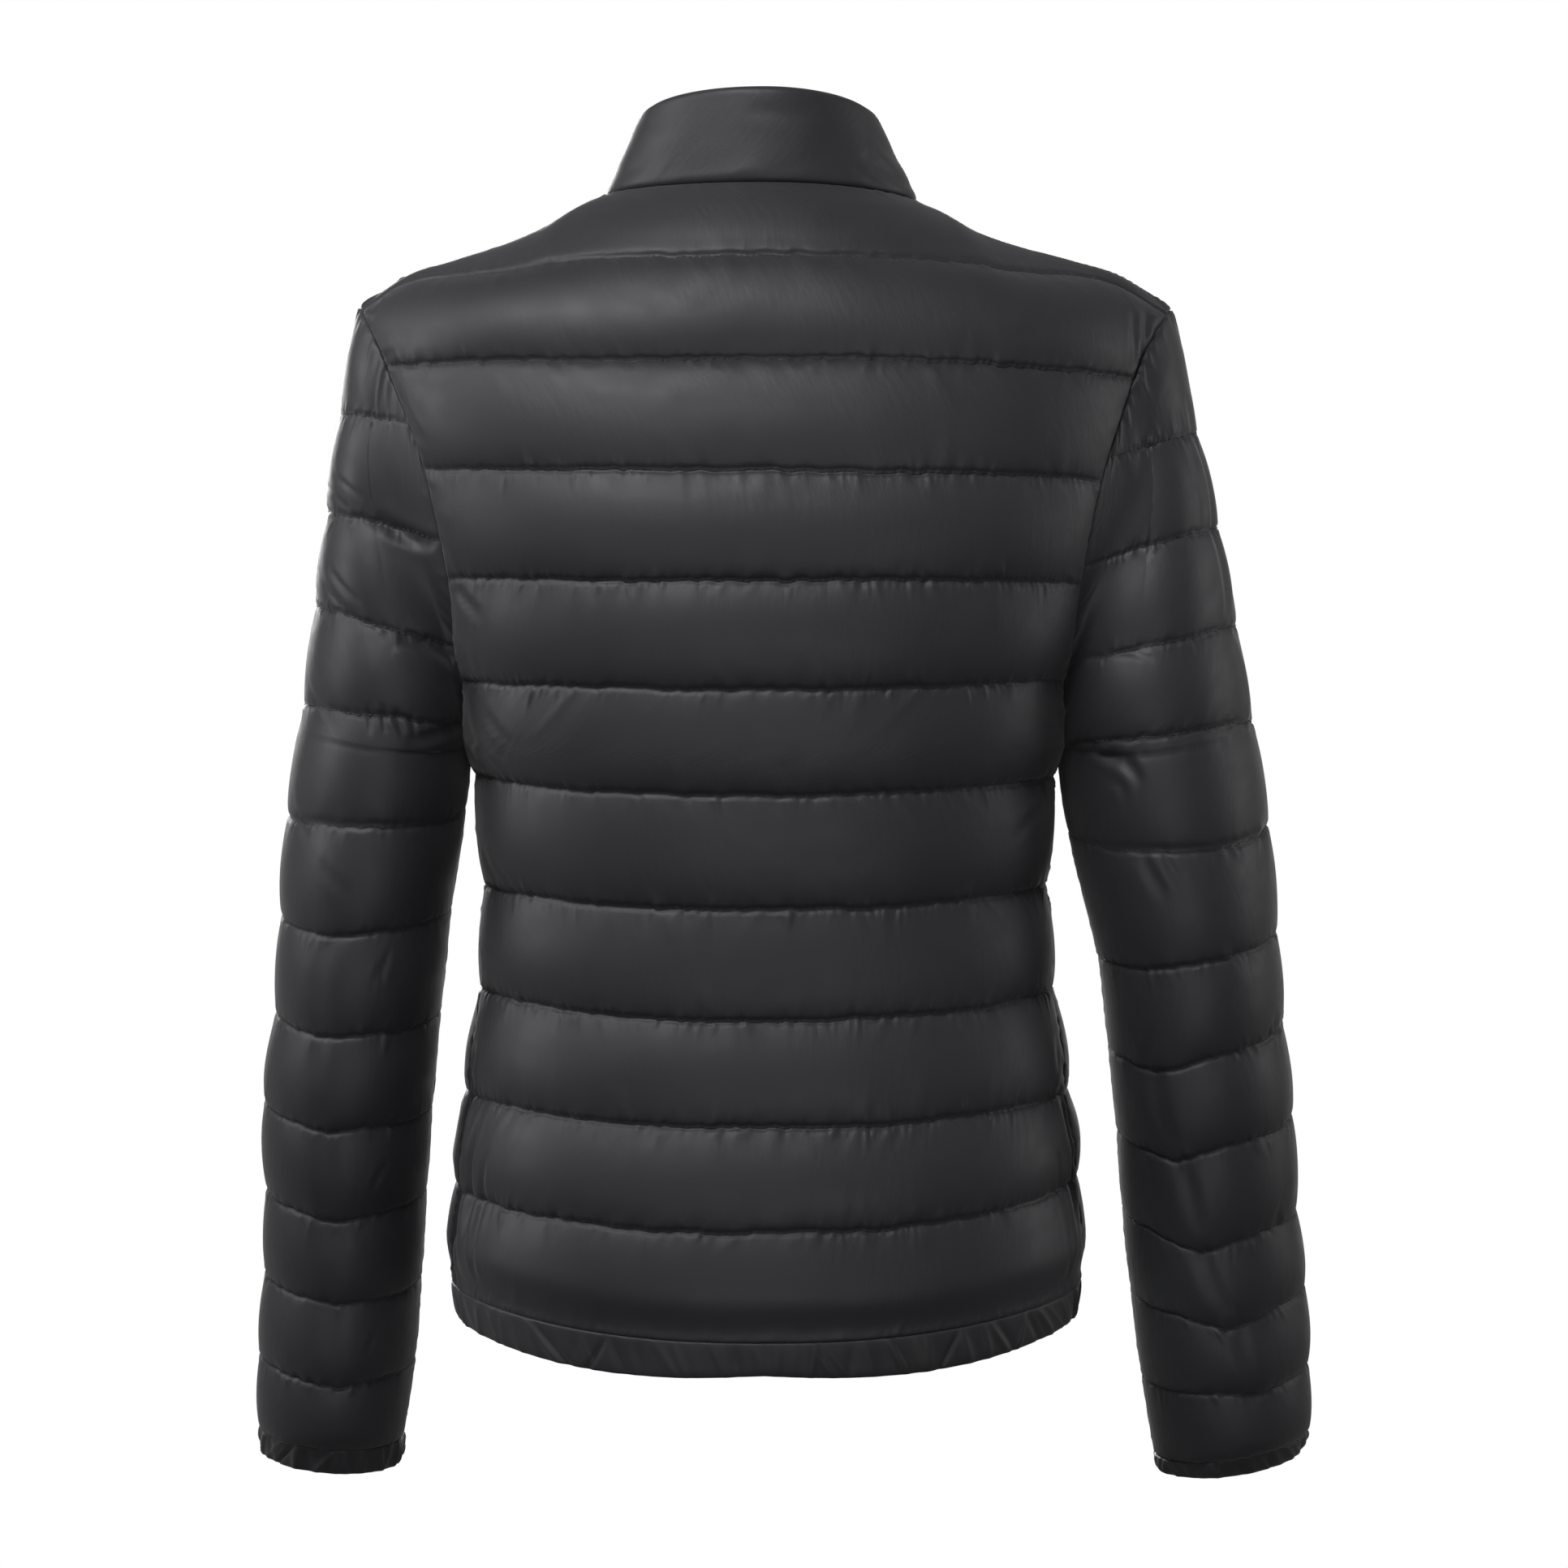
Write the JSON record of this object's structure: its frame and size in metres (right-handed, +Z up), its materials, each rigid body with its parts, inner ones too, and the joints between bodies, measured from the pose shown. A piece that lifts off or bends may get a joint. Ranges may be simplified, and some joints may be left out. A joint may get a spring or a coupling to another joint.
{
  "type": "puffer jacket",
  "caption": "Quilted light down jacket in its worn, hollow shape: stand collar, closed front zip with a swinging pull tab, set-in sleeves, elastic hem band and cuffs",
  "frame": {"origin": "Base of the neck on the middle plane, between the two shoulder seams' neck ends", "axes": "+X to the wearer's left, +Y to the back so that the front faces -Y, +Z up"},
  "size_m": [0.5744, 0.2766, 0.7356],
  "materials": {
    "shell": "satin woven nylon over down",
    "band": "gathered woven nylon over elastic",
    "zip": "woven tape with moulded teeth",
    "slider": "dark enamel"
  },
  "bodies": {
    "jacket": {"back": "shell", "front_left": "shell", "front_right": "shell", "sleeve_left": "shell", "sleeve_right": "shell", "collar": "shell", "hem_band": "band", "cuff_left": "band", "cuff_right": "band", "zip_left": "zip", "zip_right": "zip", "zip_slider": "slider"},
    "pull": {"zip_pull": "slider"}
  },
  "joints": [
    {"name": "zip_pull_swing", "type": "hinge", "parent": "jacket", "child": "pull", "pos_m": [0, -0.0827, -0.0215], "axis": [-1, 0, 0], "range_deg": [0, 150]}
  ]
}
